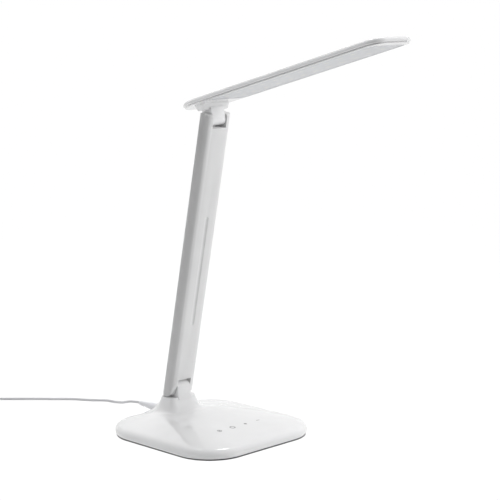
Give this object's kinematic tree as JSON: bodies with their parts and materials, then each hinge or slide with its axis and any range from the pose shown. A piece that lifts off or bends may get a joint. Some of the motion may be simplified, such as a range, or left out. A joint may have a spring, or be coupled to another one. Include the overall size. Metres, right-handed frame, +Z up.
{
  "type": "folding desk lamp",
  "caption": "Slim folding desk lamp: heavy domed base with touch controls, flat arm on a friction hinge, long light head on a second hinge, and a lead with a plug-in adapter.",
  "frame": {"origin": "bottom centre of the base, on the table", "axes": "+Z up, -Y towards the user (the side with the touch controls, under the lamp head), +X to the user's right; the neck and the power socket are on the +Y side"},
  "size_m": [0.222, 0.5757, 0.4168],
  "materials": {
    "shell_white": "gloss",
    "arm_white": "satin",
    "plate_white": "matte",
    "foot_rubber": "matte",
    "ballast_iron": "cast",
    "steel": "zinc plated",
    "washer_nylon": "satin",
    "board_green": "satin",
    "parts_dark": "matte",
    "pad_foam": "foam",
    "jack_black": "matte",
    "wire_red": "satin",
    "cord_grey": "satin",
    "diffuser_opal": "satin",
    "led_board_white": "satin",
    "led_yellow": "gloss",
    "tie_black": "matte",
    "adapter_white": "satin",
    "transformer_yellow": "satin"
  },
  "bodies": {
    "base": {"base_shell": "shell_white", "base_plate": "plate_white", "foot_pad": "foot_rubber", "ballast_plate": "ballast_iron", "base_screws": "steel", "neck_bracket": "steel", "neck_bracket_screws": "steel", "driver_board": "board_green", "driver_parts": "parts_dark", "touch_board": "board_green", "touch_pads": "pad_foam", "dc_jack": "jack_black", "jack_wires": "wire_red", "base_wire": "cord_grey", "dc_plug_body": "cord_grey", "dc_plug_tip": "steel", "cord_free": "cord_grey", "cord_coil": "cord_grey", "cord_tail": "cord_grey", "coil_tie": "tie_black", "adapter_top": "adapter_white", "adapter_bottom": "adapter_white", "adapter_pins": "steel", "adapter_relief": "cord_grey", "adapter_board": "board_green", "adapter_transformer": "transformer_yellow"},
    "arm": {"arm_front_shell": "arm_white", "arm_back_shell": "arm_white", "lower_arm_bracket": "steel", "upper_arm_bracket": "steel", "arm_bracket_screws": "steel", "arm_wire": "cord_grey", "lower_hinge_pin": "steel", "lower_hinge_nut": "steel", "lower_friction_washers": "washer_nylon", "upper_hinge_pin": "steel", "upper_hinge_nut": "steel", "upper_friction_washers": "washer_nylon"},
    "head": {"head_frame": "shell_white", "head_cover": "shell_white", "head_bracket": "steel", "head_bracket_screws": "steel", "diffuser": "diffuser_opal", "led_board": "led_board_white", "leds": "led_yellow", "led_board_screws": "steel", "head_wire": "cord_grey"}
  },
  "joints": [
    {"name": "arm_tilt", "type": "hinge", "parent": "base", "child": "arm", "pos_m": [0, 0.0504, 0.0396], "axis": [1, 0, 0], "range_deg": [0, 74]},
    {"name": "head_tilt", "type": "hinge", "parent": "arm", "child": "head", "pos_m": [0, -0.0069, 0.32898], "axis": [1, 0, 0], "range_deg": [-33, 117]}
  ]
}
